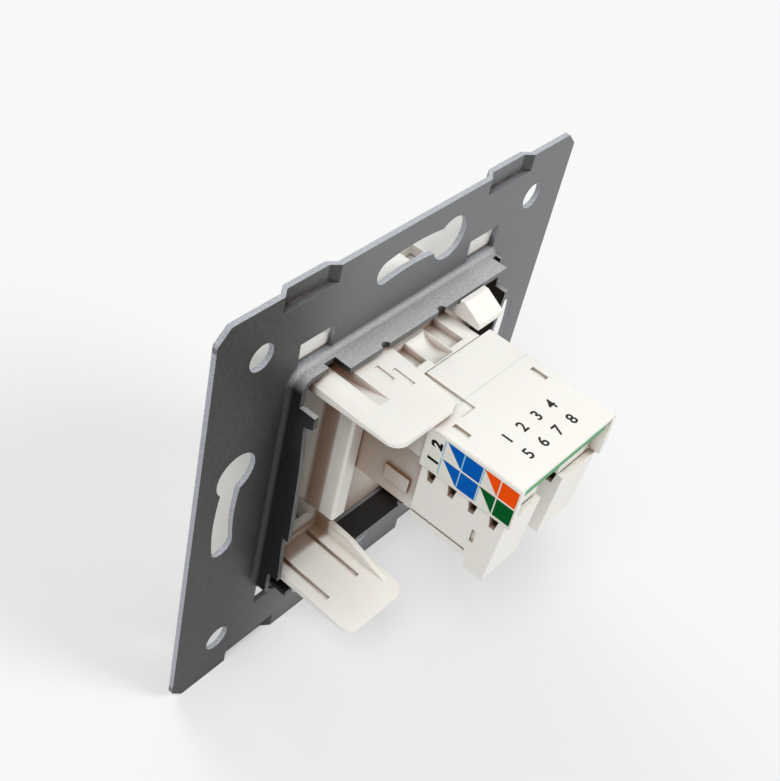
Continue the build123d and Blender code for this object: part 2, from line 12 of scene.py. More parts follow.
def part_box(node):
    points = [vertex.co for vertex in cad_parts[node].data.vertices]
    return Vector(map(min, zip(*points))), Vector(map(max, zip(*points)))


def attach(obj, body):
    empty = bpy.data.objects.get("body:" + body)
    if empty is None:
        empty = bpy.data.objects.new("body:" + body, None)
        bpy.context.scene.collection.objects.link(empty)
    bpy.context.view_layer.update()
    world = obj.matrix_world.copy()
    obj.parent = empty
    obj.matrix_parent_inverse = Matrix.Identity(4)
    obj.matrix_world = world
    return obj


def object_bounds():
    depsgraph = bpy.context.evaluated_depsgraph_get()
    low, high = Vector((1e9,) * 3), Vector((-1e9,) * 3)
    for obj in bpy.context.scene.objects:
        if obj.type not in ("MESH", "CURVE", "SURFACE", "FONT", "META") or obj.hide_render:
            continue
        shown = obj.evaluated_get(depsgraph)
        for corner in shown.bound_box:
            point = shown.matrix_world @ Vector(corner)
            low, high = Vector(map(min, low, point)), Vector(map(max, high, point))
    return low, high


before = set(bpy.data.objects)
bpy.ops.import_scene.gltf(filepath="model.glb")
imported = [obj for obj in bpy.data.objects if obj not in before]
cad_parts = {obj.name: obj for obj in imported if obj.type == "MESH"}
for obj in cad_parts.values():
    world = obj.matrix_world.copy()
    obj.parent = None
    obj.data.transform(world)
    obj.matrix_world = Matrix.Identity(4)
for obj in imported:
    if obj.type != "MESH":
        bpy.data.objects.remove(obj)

log = logging.getLogger("socket_insert")
CAD_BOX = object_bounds()
BODY = "insert"
MM = 0.001

RGBA = Tuple[float, float, float, float]
Point = Tuple[float, float, float]
Span = Tuple[float, float]
Source = Union[float, RGBA, bpy.types.NodeSocket]


def linear(value: int) -> float:
    """Turn one 8-bit screen value into a linear one."""
    share = value / 255
    return share / 12.92 if share <= 0.04045 else ((share + 0.055) / 1.055) ** 2.4


def srgb(red: int, green: int, blue: int) -> RGBA:
    """Turn an 8-bit screen colour into a linear one.

    Args:
        red: red value, 0 to 255.
        green: green value, 0 to 255.
        blue: blue value, 0 to 255.

    Returns:
        The linear colour with an alpha of 1.
    """
    return (linear(red), linear(green), linear(blue), 1.0)


class Side(Enum):
    """The side of the jack, as seen from behind, with its direction along X."""

    LEFT = 1
    RIGHT = -1


class Ink(Enum):
    """Screen colours of the inks on the labels and the rear cover."""

    BLUE = (0, 96, 190)
    ORANGE = (255, 84, 8)
    GREEN = (0, 92, 38)
    PALE_BLUE = (150, 205, 225)
    BLACK = (28, 27, 26)
    DARK_GREY = (62, 56, 52)


@dataclass(frozen=True)
class Wiring:
    """Adds nodes to one shader tree and joins them."""

    tree: bpy.types.NodeTree

    def add(self, kind: str) -> bpy.types.Node:
        """Add one node of the kind and hand it back."""
        return self.tree.nodes.new(kind)

    def group(self, tree: bpy.types.ShaderNodeTree) -> bpy.types.Node:
        """Place a shared node group and hand its node back."""
        node = self.add("ShaderNodeGroup")
        node.node_tree = tree
        return node

    def feed(self, target: bpy.types.NodeSocket, source: Source) -> None:
        """Link an input to another socket, or set it to a plain value.

        Args:
            target: the input socket.
            source: an output socket, a number or a colour.
        """
        if isinstance(source, bpy.types.NodeSocket):
            self.tree.links.new(source, target)
        else:
            target.default_value = source

    def compute(self, operation: str, *values: Source) -> bpy.types.NodeSocket:
        """Work out one number from others.

        Args:
            operation: Blender's name for the operation.
            values: the numbers that it takes, in order.

        Returns:
            The socket with the result.
        """
        node = self.add("ShaderNodeMath")
        node.operation = operation
        for socket, value in zip(node.inputs, values):
            self.feed(socket, value)
        return node.outputs["Value"]

    def ramp(
        self,
        value: bpy.types.NodeSocket,
        start: Source,
        end: Source,
        low: float = 0.0,
        high: float = 1.0,
        smooth: bool = True,
    ) -> bpy.types.NodeSocket:
        """Turn a value between two limits into a gradual change.

        Args:
            value: the value that is followed.
            start: value at which the change begins.
            end: value at which it is complete.
            low: result at the start.
            high: result at the end.
            smooth: whether the change is eased at both ends, or straight.

        Returns:
            The socket with the result.
        """
        node = self.add("ShaderNodeMapRange")
        node.interpolation_type = "SMOOTHSTEP" if smooth else "LINEAR"
        sources = {"Value": value, "From Min": start, "From Max": end, "To Min": low, "To Max": high}
        for title, source in sources.items():
            self.feed(node.inputs[title], source)
        return node.outputs["Result"]

    def blend(self, share: bpy.types.NodeSocket, first: Source, second: Source) -> bpy.types.NodeSocket:
        """Mix two colours.

        Args:
            share: how much of the second colour there is.
            first: the colour at a share of 0.
            second: the colour at a share of 1.

        Returns:
            The socket with the mixed colour.
        """
        node = self.add("ShaderNodeMix")
        node.data_type = "RGBA"
        self.feed(node.inputs["Factor"], share)
        self.feed(node.inputs["A"], first)
        self.feed(node.inputs["B"], second)
        return node.outputs["Result"]

    def noise(
        self, place: bpy.types.NodeSocket, scale: Source, detail: float, roughness: float = 0.5
    ) -> bpy.types.NodeSocket:
        """Add a cloudy pattern.

        Args:
            place: the coordinates that carry it.
            scale: its scale, in clouds for each metre.
            detail: how many finer layers it has.
            roughness: how strong those layers are.

        Returns:
            The socket with the pattern's value.
        """
        node = self.add("ShaderNodeTexNoise")
        sources = {"Vector": place, "Scale": scale, "Detail": detail, "Roughness": roughness}
        for title, source in sources.items():
            self.feed(node.inputs[title], source)
        return node.outputs["Fac"]

    def split(self, vector: bpy.types.NodeSocket) -> bpy.types.NodeOutputs:
        """Split a vector into its X, Y and Z sockets."""
        node = self.add("ShaderNodeSeparateXYZ")
        self.feed(node.inputs["Vector"], vector)
        return node.outputs


@dataclass
class NodeGroups:
    """Shader node groups that the finishes share, each built once. Lengths are in metres.

    Attributes:
        built: the groups made so far, by name.
        tone_span: pattern values between which a surface drifts to its second tone.
        bay_walls: distance from the origin along each axis where the painted shade of the bay round
            the jack starts to count, and where it counts in full.
        floor_span: height over the plate's back face where the painted shade of the bay's floor starts
            to count, and where it counts in full.
        bay_reach: how much further round itself a point in the bay looks for hiding walls.
        bay_start: how much sooner a point in the bay counts as hidden.
        hidden_limit: openness at which a crevice has its whole shade.
        front_span: depths between which the shade of the rear gives way to that of the front.
        front_share: share of a crevice's shade that the front side keeps.
        grain_roughness: roughness that the grain adds at most.
        grain_distance: height of the grain.
        wall_tilt: how far a face may turn to the front or rear and still count as an edge.
        sand_span: pattern values between which the enamel on an edge goes from solid to thin, and the
            painted highlight on the top walls from faint to full.
        sand_low: share of the pale edge tone and of the painted top highlight that shows where the
            enamel is solid.
        slit_span: distances from the middle of a lanced slit between which its edge goes from painted
            slit shade to pale.
        slit_low: share of the pale tone that shows in the slit, the rest being painted shade.
    """

    built: Dict[str, bpy.types.ShaderNodeTree] = field(default_factory=dict)
    tone_span: Span = (0.35, 0.65)
    bay_walls: Tuple[Tuple[str, float, float], ...] = (
        ("X", 20.8 * MM, 20.3 * MM),
        ("Z", 17.0 * MM, 15.0 * MM),
        ("Y", 20.0 * MM, 10.0 * MM),
    )
    floor_span: Span = (2.5 * MM, 1.0 * MM)
    bay_reach: float = 14.0 * MM
    bay_start: float = 0.35
    hidden_limit: float = 0.12
    front_span: Span = (-1.5 * MM, -0.6 * MM)
    front_share: float = 0.3
    grain_roughness: float = 0.12
    grain_distance: float = 0.05 * MM
    wall_tilt: float = 0.35
    sand_span: Span = (0.38, 0.62)
    sand_low: float = 0.62
    slit_span: Span = (0.3 * MM, 0.6 * MM)
    slit_low: float = 0.3

    def _start(
        self, name: str, inputs: Dict[str, Source], outputs: Dict[str, str]
    ) -> Tuple[Wiring, bpy.types.NodeOutputs, bpy.types.NodeInputs]:
        """Open a new group with named sockets.

        Args:
            name: the group's name.
            inputs: default of each input, a number or a colour, by its name.
            outputs: socket type of each output, by its name.

        Returns:
            The group's wiring, the sockets with what it is given, and those with what it puts out.
        """
        tree = bpy.data.node_groups.new(name, "ShaderNodeTree")
        for title, value in inputs.items():
            kind = "NodeSocketColor" if isinstance(value, tuple) else "NodeSocketFloat"
            socket = tree.interface.new_socket(name=title, in_out="INPUT", socket_type=kind)
            socket.default_value = value
        for title, kind in outputs.items():
            tree.interface.new_socket(name=title, in_out="OUTPUT", socket_type=kind)
        self.built[name] = tree
        wiring = Wiring(tree)
        return wiring, wiring.add("NodeGroupInput").outputs, wiring.add("NodeGroupOutput").inputs

    def _depth(
        self, wiring: Wiring, given: bpy.types.NodeOutputs, spot: bpy.types.NodeOutputs
    ) -> bpy.types.NodeSocket:
        """Tell how much extra painted shade a point gets in the bay round the jack or on its floor.

        Args:
            wiring: the group's wiring.
            given: the group's inputs.
            spot: the point's X, Y and Z.

        Returns:
            The socket with the weight of that painted shade, 0 outside the bay.
        """
        inside = given["Bay Depth"]
        for axis, outer, inner in self.bay_walls:
            distance = wiring.compute("ABSOLUTE", spot[axis])
            inside = wiring.compute("MULTIPLY", inside, wiring.ramp(distance, outer, inner))
        bottom = wiring.compute("MULTIPLY", wiring.ramp(spot["Y"], *self.floor_span), given["Floor Depth"])
        return wiring.compute("MAXIMUM", inside, bottom)

    def _crevice(
        self, wiring: Wiring, given: bpy.types.NodeOutputs, spot: bpy.types.NodeOutputs
    ) -> bpy.types.NodeSocket:
        """Tell how much painted shade, in the crevice shade tone, a point shows.

        Args:
            wiring: the group's wiring.
            given: the group's inputs.
            spot: the point's X, Y and Z.

        Returns:
            The socket with the share of the painted crevice shade.
        """
        depth = self._depth(wiring, given, spot)
        reach = wiring.compute("MULTIPLY_ADD", depth, self.bay_reach, given["Crevice Reach"])
        start = wiring.compute("MULTIPLY_ADD", depth, self.bay_start, given["Crevice Start"])
        openness = wiring.add("ShaderNodeAmbientOcclusion")
        openness.samples = 6
        wiring.feed(openness.inputs["Distance"], reach)
        hidden = wiring.ramp(openness.outputs["AO"], start, self.hidden_limit)
        rear = wiring.ramp(spot["Y"], *self.front_span, low=self.front_share)
        return wiring.compute("MULTIPLY", wiring.compute("MULTIPLY", hidden, rear), given["Crevice Share"])

    def grain(self) -> bpy.types.ShaderNodeTree:
        """Fine surface grain with softened edges, a slow change of tone, and shade painted into crevices and
        into the bay round the jack.

        Returns:
            The group tree, with outputs Color, Roughness and Normal.
        """
        name = "surface_grain"
        if name in self.built:
            return self.built[name]
        wiring, given, result = self._start(
            name,
            {
                "Tone": (0.8, 0.8, 0.8, 1),
                "Second Tone": (0.7, 0.7, 0.7, 1),
                "Tone Scale": 90.0,
                "Grain Scale": 3000.0,
                "Grain Depth": 0.3,
                "Base Roughness": 0.4,
                "Edge Radius": 0.15 * MM,
                "Crevice Tone": (0.3, 0.2, 0.15, 1),
                "Crevice Share": 0.5,
                "Crevice Reach": 3.0 * MM,
                "Crevice Start": 0.72,
                "Bay Depth": 0.0,
                "Floor Depth": 0.0,
            },
            {"Color": "NodeSocketColor", "Roughness": "NodeSocketFloat", "Normal": "NodeSocketVector"},
        )
        place = wiring.add("ShaderNodeTexCoord").outputs["Object"]
        slow = wiring.noise(place, given["Tone Scale"], detail=3.0)
        drift = wiring.ramp(slow, *self.tone_span, smooth=False)
        tone = wiring.blend(drift, given["Tone"], given["Second Tone"])
        # Painted shade: crevices, the bay round the jack and its floor darken towards the crevice shade
        # tone.
        crevice = self._crevice(wiring, given, wiring.split(place))
        wiring.feed(result["Color"], wiring.blend(crevice, tone, given["Crevice Tone"]))
        fine = wiring.noise(place, given["Grain Scale"], detail=2.0)
        roughness = wiring.compute("MULTIPLY_ADD", fine, self.grain_roughness, given["Base Roughness"])
        wiring.feed(result["Roughness"], roughness)
        edge = wiring.add("ShaderNodeBevel")
        edge.samples = 4
        wiring.feed(edge.inputs["Radius"], given["Edge Radius"])
        bump = wiring.add("ShaderNodeBump")
        wiring.feed(bump.inputs["Distance"], self.grain_distance)
        wiring.feed(bump.inputs["Strength"], given["Grain Depth"])
        wiring.feed(bump.inputs["Height"], fine)
        wiring.feed(bump.inputs["Normal"], edge.outputs["Normal"])
        wiring.feed(result["Normal"], bump.outputs["Normal"])
        return wiring.tree

    def enamel_areas(self) -> bpy.types.ShaderNodeTree:
        """Masks of the pressed plate: its sheared edges, the top walls for a painted highlight, the side
        walls for painted shade, and its right half for a painted sheen.

        Returns:
            The group tree, with outputs Edge, Top, Side and Right.
        """
        name = "enamel_areas"
        if name in self.built:
            return self.built[name]
        wiring, given, result = self._start(
            name,
            {
                "Rear Limit": -0.02 * MM,
                "Left Limit": 28.0 * MM,
                "Right Limit": 8.0 * MM,
                "Mottle Scale": 3800.0,
                "Slit Middle": 32.8 * MM,
            },
            {area: "NodeSocketFloat" for area in ("Edge", "Top", "Side", "Right")},
        )
        compute = wiring.compute
        place = wiring.add("ShaderNodeTexCoord")
        facing = wiring.split(place.outputs["Normal"])
        spot = wiring.split(place.outputs["Object"])
        upright = compute("LESS_THAN", compute("ABSOLUTE", facing["Y"]), self.wall_tilt)
        sheared = compute("MULTIPLY", upright, compute("LESS_THAN", spot["Y"], given["Rear Limit"]))
        elsewhere = compute("SUBTRACT", 1.0, sheared)
        # Upward faces in the upper half take the painted highlight.
        upward = compute("MULTIPLY", compute("MAXIMUM", facing["Z"], 0.0), elsewhere)
        crest = compute("MULTIPLY", upward, compute("GREATER_THAN", spot["Z"], 0.0))
        # Sideways faces, and upward faces in the lower half, take painted shade.
        sideways = compute("MULTIPLY", compute("ABSOLUTE", facing["X"]), elsewhere)
        side = compute("MAXIMUM", sideways, compute("SUBTRACT", upward, crest))
        mottle = wiring.noise(place.outputs["Object"], given["Mottle Scale"], detail=4.0, roughness=0.65)
        sand = wiring.ramp(mottle, *self.sand_span, low=self.sand_low, smooth=False)
        height = compute("ABSOLUTE", spot["Z"])
        # Painted shade: inside a lanced slit the edge keeps most of the dark tone.
        from_slit = compute("ABSOLUTE", compute("SUBTRACT", height, given["Slit Middle"]))
        open_edge = wiring.ramp(from_slit, *self.slit_span, low=self.slit_low, smooth=False)
        edge = compute("MULTIPLY", compute("MULTIPLY", sheared, open_edge), sand)
        wiring.feed(result["Edge"], edge)
        wiring.feed(result["Top"], compute("MULTIPLY", crest, sand))
        wiring.feed(result["Side"], side)
        # Painted sheen: the plate grows lighter from left to right.
        wiring.feed(result["Right"], wiring.ramp(spot["X"], given["Left Limit"], given["Right Limit"]))
        return wiring.tree


GROUPS = NodeGroups()


@dataclass(frozen=True)
class Finish:
    """A surface finish with grain, two close tones, softened edges, and shade painted into its crevices and
    into the bay round the jack.

    Attributes:
        name: the material's name.
        tone: its main colour.
        second_tone: the colour that it drifts to.
        roughness: roughness before the grain adds to it.
        tone_scale: scale of the drift.
        grain_scale: scale of the grain.
        grain_depth: strength of the grain's relief.
        edge_radius: radius by which edges look softened, in metres.
        metallic: 1 for bare metal.
        specular: strength of the plain gloss.
        subsurface: share of light that passes under the surface.
        subsurface_scale: how far that light goes, in metres.
        coat: strength of a clear gloss coat.
        coat_roughness: roughness of that coat.
        crevice_tone: colour of the shade painted into crevices.
        crevice_share: share of that painted shade in the deepest ones.
        crevice_reach: how far round itself a point looks for hiding walls, in metres.
        crevice_start: openness at which a crevice begins.
        bay_depth: how much extra painted shade the bay round the jack gets.
        floor_depth: how much extra painted shade the bay's floor gets.
    """

    name: str
    tone: RGBA
    second_tone: RGBA
    roughness: float = 0.4
    tone_scale: float = 90.0
    grain_scale: float = 3000.0
    grain_depth: float = 0.1
    edge_radius: float = 0.15 * MM
    metallic: float = 0.0
    specular: float = 0.5
    subsurface: float = 0.0
    subsurface_scale: float = 0.6 * MM
    coat: float = 0.0
    coat_roughness: float = 0.1
    # Warm brown painted shade for crevices.
    crevice_tone: RGBA = srgb(132, 94, 62)
    crevice_share: float = 0.95
    crevice_reach: float = 4.0 * MM
    crevice_start: float = 0.72
    bay_depth: float = 0.0
    floor_depth: float = 0.0

    def tones(self, wiring: Wiring) -> Tuple[Source, Source]:
        """Hand out the two tones, which are plain unless a finish has areas of its own."""
        return self.tone, self.second_tone

    def make(self) -> bpy.types.Material:
        """Build the material.

        Returns:
            The finished material.
        """
        material = bpy.data.materials.new(self.name)
        material.use_nodes = True
        wiring = Wiring(material.node_tree)
        shader = material.node_tree.nodes["Principled BSDF"].inputs
        shader["Metallic"].default_value = self.metallic
        shader["Specular IOR Level"].default_value = self.specular
        shader["Coat Weight"].default_value = self.coat
        shader["Coat Roughness"].default_value = self.coat_roughness
        shader["Subsurface Weight"].default_value = self.subsurface
        shader["Subsurface Scale"].default_value = self.subsurface_scale
        grain = wiring.group(GROUPS.grain())
        tone, second_tone = self.tones(wiring)
        values = {
            "Tone": tone,
            "Second Tone": second_tone,
            "Tone Scale": self.tone_scale,
            "Grain Scale": self.grain_scale,
            "Grain Depth": self.grain_depth,
            "Base Roughness": self.roughness,
            "Edge Radius": self.edge_radius,
            "Crevice Tone": self.crevice_tone,
            "Crevice Share": self.crevice_share,
            "Crevice Reach": self.crevice_reach,
            "Crevice Start": self.crevice_start,
            "Bay Depth": self.bay_depth,
            "Floor Depth": self.floor_depth,
        }
        for title, value in values.items():
            wiring.feed(grain.inputs[title], value)
        wiring.feed(shader["Base Color"], grain.outputs["Color"])
        wiring.feed(shader["Roughness"], grain.outputs["Roughness"])
        wiring.feed(shader["Normal"], grain.outputs["Normal"])
        return material


@dataclass(frozen=True)
class PlateEnamel(Finish):
    """Dark stove enamel on pressed steel, whose tones change with the area of the plate: pale sheared edges,
    a painted highlight, painted shade and a painted sheen.

    Attributes:
        edge_tone: pale tone of the sheared edges, where the enamel is thin.
        top_tone: pale tone of the painted highlight on the upper walls.
        side_tone: near black painted shade of the side walls and of the lower opening's inside.
        right_tone: painted sheen, a lighter grey, of the right half.
    """

    edge_tone: RGBA = srgb(186, 190, 198)
    # Painted highlight on the top walls.
    top_tone: RGBA = srgb(196, 197, 196)
    # Painted shade on the side walls and in the lower opening.
    side_tone: RGBA = srgb(5, 5, 5)
    # Painted sheen on the right half.
    right_tone: RGBA = srgb(107, 108, 110)

    def tones(self, wiring: Wiring) -> Tuple[Source, Source]:
        """Lay the pale edge tone and the painted highlight, shade and sheen of the plate's areas over both
        tones of the enamel.

        Args:
            wiring: the material's wiring.

        Returns:
            The sockets of the two tones.
        """
        masks = wiring.group(GROUPS.enamel_areas()).outputs
        areas = {
            "Right": self.right_tone,
            "Side": self.side_tone,
            "Top": self.top_tone,
            "Edge": self.edge_tone,
        }
        tone, second_tone = self.tone, self.second_tone
        for area, area_tone in areas.items():
            tone = wiring.blend(masks[area], tone, area_tone)
            second_tone = wiring.blend(masks[area], second_tone, area_tone)
        return tone, second_tone


ENAMEL = PlateEnamel(
    name="plate_enamel",
    tone=srgb(49, 49, 49),
    second_tone=srgb(33, 33, 33),
    roughness=0.36,
    specular=0.4,
    # Near-black painted shade in the plate's crevices, such as along the collar's root.
    crevice_tone=srgb(12, 12, 12),
    crevice_reach=7.0 * MM,
    crevice_start=0.9,
    tone_scale=1400.0,
    grain_scale=2600.0,
    grain_depth=0.5,
)
TORN_STEEL = Finish(
    name="torn_steel",
    tone=srgb(46, 40, 40),
    second_tone=srgb(96, 84, 84),
    specular=0.4,
    crevice_share=0.0,
    tone_scale=1500.0,
    grain_scale=2600.0,
    grain_depth=0.6,
    edge_radius=0.05 * MM,
)
CARRIER_WHITE = Finish(
    name="carrier_white",
    tone=srgb(247, 245, 239),
    second_tone=srgb(245, 242, 235),
    roughness=0.36,
    subsurface=0.15,
    crevice_start=0.62,
    # Painted shade in the bay round the jack and, stronger, on the bay's floor.
    bay_depth=0.5,
    floor_depth=1.5,
)
COVER_WHITE = Finish(
    name="cover_white",
    tone=srgb(244, 243, 238),
    second_tone=srgb(242, 241, 236),
    roughness=0.16,
    grain_depth=0.08,
    coat=0.3,
)
HOUSING_WHITE = Finish(
    name="housing_white",
    tone=srgb(246, 244, 238),
    second_tone=srgb(244, 241, 234),
    roughness=0.38,
    subsurface=0.15,
    # Painted shade in the crevices and the bay round the jack, stronger than on the other jack parts.
    crevice_share=1.0,
    crevice_start=0.62,
    bay_depth=1.8,
)
JACK_WHITE = Finish(
    name="jack_white",
    tone=srgb(246, 244, 238),
    second_tone=srgb(244, 241, 234),
    roughness=0.38,
    subsurface=0.15,
)
COMB_WHITE = Finish(
    name="comb_white",
    tone=srgb(232, 226, 210),
    second_tone=srgb(228, 221, 204),
)
BOARD_GREEN = Finish(
    name="board_green",
    tone=srgb(8, 156, 72),
    second_tone=srgb(4, 142, 62),
    roughness=0.3,
    crevice_share=0.0,
)
CONTACT_GOLD = Finish(
    name="contact_gold",
    tone=(0.83, 0.56, 0.2, 1),
    second_tone=(0.8, 0.52, 0.17, 1),
    roughness=0.16,
    metallic=1.0,
    edge_radius=0.04 * MM,
)
BLADE_TIN = Finish(
    name="blade_tin",
    tone=(0.66, 0.65, 0.62, 1),
    second_tone=(0.6, 0.59, 0.56, 1),
    roughness=0.24,
    metallic=1.0,
    edge_radius=0.04 * MM,
)
LABEL_FILM = Finish(
    name="label_film",
    tone=srgb(238, 236, 226),
    second_tone=srgb(234, 232, 221),
    roughness=0.3,
    edge_radius=0.04 * MM,
)

NODE_FINISH: Dict[str, Finish] = {
    "mounting_plate": ENAMEL,
    "insert_carrier": CARRIER_WHITE,
    "front_cover": COVER_WHITE,
    "jack_housing": HOUSING_WHITE,
    "jack_rear_cover": JACK_WHITE,
    "circuit_board": BOARD_GREEN,
    "contact_comb": COMB_WHITE,
    "terminal_block": JACK_WHITE,
    "idc_cap": JACK_WHITE,
    "label": LABEL_FILM,
    "socket_contact": CONTACT_GOLD,
    "idc_contact": BLADE_TIN,
}


@dataclass
class Dresser:
    """Gives every carried-over node its finish.

    Attributes:
        made: the materials made so far, by name.
    """

    made: Dict[str, bpy.types.Material] = field(default_factory=dict)

    def material(self, finish: Finish) -> bpy.types.Material:
        """Make a finish once and hand it out again.

        Args:
            finish: the finish wanted.

        Returns:
            Its material.
        """
        if finish.name not in self.made:
            self.made[finish.name] = finish.make()
        return self.made[finish.name]

    def dress(self) -> None:
        """Assign the finishes to the nodes by the start of their names."""
        for name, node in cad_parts.items():
            start = next(key for key in NODE_FINISH if name.startswith(key))
            material = self.material(NODE_FINISH[start])
            node.data.materials.clear()
            node.data.materials.append(material)
            log.info("dressed %s in %s", name, material.name)


@dataclass(frozen=True)
class DigitStyle:
    """How a row of digits is printed.

    Attributes:
        height: height of a digit, in metres.
        boldness: how much wider a stroke is on each side, as a share of the height.
        ink: the ink that it is printed in.
    """

    height: float
    boldness: float
    ink: Ink


@dataclass
class Print:
    """Flat printed shapes, a hair above the surface that they are printed on.

    Attributes:
        dresser: the dresser that keeps the inks' materials.
        lift: height of the ink over the surface, in metres.
        second_share: brightness of an ink's second tone, as a share of the first.
        digit_share: height of a digit, as a share of the font's size.
        curve_steps: straight steps in each curve of a digit.
    """

    dresser: Dresser
    lift: float = 0.012 * MM
    second_share: float = 0.94
    digit_share: float = 0.7
    curve_steps: int = 4

    def material(self, ink: Ink) -> bpy.types.Material:
        """Material of one ink.

        Args:
            ink: the ink's colour.

        Returns:
            A satin finish in that colour.
        """
        tone = srgb(*ink.value)
        finish = Finish(
            name="ink_" + ink.name.lower(),
            tone=tone,
            second_tone=tuple(value * self.second_share for value in tone[:3]) + (1.0,),
            roughness=0.6,
            specular=0.04,
            grain_depth=0.05,
            edge_radius=0.01 * MM,
        )
        return self.dresser.material(finish)

    def _place(self, name: str, mesh: bpy.types.Mesh, ink: Ink) -> None:
        """Put a printed mesh on the insert.

        Args:
            name: the piece's name.
            mesh: its mesh.
            ink: the ink that it is printed in.
        """
        piece = bpy.data.objects.new(name, mesh)
        bpy.context.scene.collection.objects.link(piece)
        piece.data.materials.clear()
        piece.data.materials.append(self.material(ink))
        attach(piece, BODY)
        log.info("printed %s", name)

    def fill(self, name: str, loops: Sequence[Sequence[Point]], ink: Ink, normal: Vector) -> None:
        """Print flat outlines, filled with ink.

        Args:
            name: the piece's name.
            loops: the outlines' corners.
            ink: the ink that fills them.
            normal: direction out of the printed surface.
        """
        form = bmesh.new()
        for loop in loops:
            corners = [form.verts.new(Vector(point) + normal * self.lift) for point in loop]
            form.faces.new(corners)
        bmesh.ops.recalc_face_normals(form, faces=form.faces)
        for face in form.faces:
            if face.normal.dot(normal) < 0:
                face.normal_flip()
        mesh = bpy.data.meshes.new(name)
        form.to_mesh(mesh)
        form.free()
        self._place(name, mesh, ink)

    def number(
        self, name: str, style: DigitStyle, text: str, middle: Point, right: Vector, up: Vector
    ) -> None:
        """Print plain digits.

        Args:
            name: the piece's name.
            style: the digits' height, boldness and ink.
            text: the digits.
            middle: centre of the text on the surface.
            right: reading direction.
            up: direction of the digits' tops.
        """
        curve = bpy.data.curves.new(name, "FONT")
        curve.body = text
        curve.size = style.height / self.digit_share
        curve.align_x = "CENTER"
        curve.align_y = "CENTER"
        curve.resolution_u = self.curve_steps
        curve.offset = style.height * style.boldness
        source = bpy.data.objects.new(name, curve)
        bpy.context.scene.collection.objects.link(source)
        mesh = bpy.data.meshes.new_from_object(source)
        bpy.data.objects.remove(source)
        normal = right.cross(up)
        turn = Matrix((right, up, normal)).transposed().to_4x4()
        mesh.transform(Matrix.Translation(Vector(middle) + normal * self.lift) @ turn)
        mesh.name = name
        self._place(name, mesh, style.ink)


@dataclass
class ColourCode:
    """Colour-code fields on one label: two rows of four cells, every other one halved.

    Attributes:
        side: the label's side.
        printer: what prints on it.
        columns: front and rear end of each column of cells, in mm along Y.
        upper: lower and upper end of the upper row, in mm.
        lower: lower and upper end of the lower row, in mm.
        halved: numbers of the columns whose cells are halved.
        outline: half the width of the thin lines, in mm.
        digits: how the two numbers are printed.
        digit_y: middle of the numbers along Y, in mm.
        digit_rows: height of each number's middle, in mm.
    """

    side: Side
    printer: Print
    columns: Tuple[Span, ...] = ((18.1, 20.9), (21.1, 23.9), (24.1, 26.7), (26.9, 29.6))
    upper: Span = (14.1, 16.9)
    lower: Span = (10.9, 13.8)
    halved: Tuple[int, ...] = (0, 2)
    outline: float = 0.1
    digits: DigitStyle = DigitStyle(height=1.6 * MM, boldness=0.075, ink=Ink.BLACK)
    digit_y: float = 16.85
    digit_rows: Tuple[float, float] = (12.5, 15.3)

    def surface_x(self) -> float:
        """Outer face of the label, along X."""
        low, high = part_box("label_" + self.side.name.lower())
        return high[0] if self.side is Side.LEFT else low[0]

    def cell(self, column: int, row: Span) -> List[Point]:
        """Corners of one field, of which a halved one fills only the upper rear.

        Args:
            column: number of the column, from the front.
            row: lower and upper height.

        Returns:
            The outline's points.
        """
        x = self.surface_x()
        front, rear = (value * MM for value in self.columns[column])
        low, high = (value * MM for value in row)
        points = [(x, front, high), (x, rear, high), (x, rear, low)]
        if column not in self.halved:
            points.append((x, front, low))
        return points

    def frame_lines(self, row: Span) -> List[List[Point]]:
        """Thin upright lines before, between and behind the two front cells of a row.

        Args:
            row: lower and upper height.

        Returns:
            One outline for each line.
        """
        x = self.surface_x()
        front = (self.columns[0][0] - 2 * self.outline) * MM
        rear = (self.columns[1][1] + 2 * self.outline) * MM
        middle = (self.columns[0][1] + self.columns[1][0]) / 2 * MM
        low, high = (value * MM for value in row)
        half = self.outline * MM
        return [
            [(x, y - half, high), (x, y + half, high), (x, y + half, low), (x, y - half, low)]
            for y in (front, middle, rear)
        ]

    def build(self) -> None:
        """Print the fields, the lines and the two plain numbers."""
        title = self.side.name.lower()
        normal = Vector((self.side.value, 0, 0))
        fields = {
            Ink.BLUE: [(0, self.upper), (1, self.upper), (0, self.lower), (1, self.lower)],
            Ink.ORANGE: [(2, self.upper), (3, self.upper)],
            Ink.GREEN: [(2, self.lower), (3, self.lower)],
        }
        for ink, cells in fields.items():
            loops = [self.cell(column, row) for column, row in cells]
            self.printer.fill(f"fields_{ink.name.lower()}_{title}", loops, ink, normal)
        lines = self.frame_lines(self.upper) + self.frame_lines(self.lower)
        self.printer.fill(f"field_lines_{title}", lines, Ink.PALE_BLUE, normal)
        up = Vector((0, -1, 0))
        for number, z in enumerate(self.digit_rows, start=1):
            middle = (self.surface_x(), self.digit_y * MM, z * MM)
            text = str(number)
            self.printer.number(f"number_{text}_{title}", self.digits, text, middle, up.cross(normal), up)


@dataclass
class TerminalNumbers:
    """Plain terminal numbers on top of the rear cover.

    Attributes:
        printer: what prints on it.
        digits: how the numbers are printed.
        rows: place along Y, in mm, and text of each row.
    """

    printer: Print
    digits: DigitStyle = DigitStyle(height=1.7 * MM, boldness=0.03, ink=Ink.DARK_GREY)
    rows: Tuple[Tuple[float, str], ...] = ((23.0, "1   2   3   4"), (26.4, "5   6   7   8"))

    def build(self) -> None:
        """Print the rows of numbers."""
        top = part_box("jack_rear_cover")[1][2]
        up = Vector((0, -1, 0))
        right = up.cross(Vector((0, 0, 1)))
        for number, (y, text) in enumerate(self.rows, start=1):
            self.printer.number(f"terminal_numbers_{number}", self.digits, text, (0, y * MM, top), right, up)


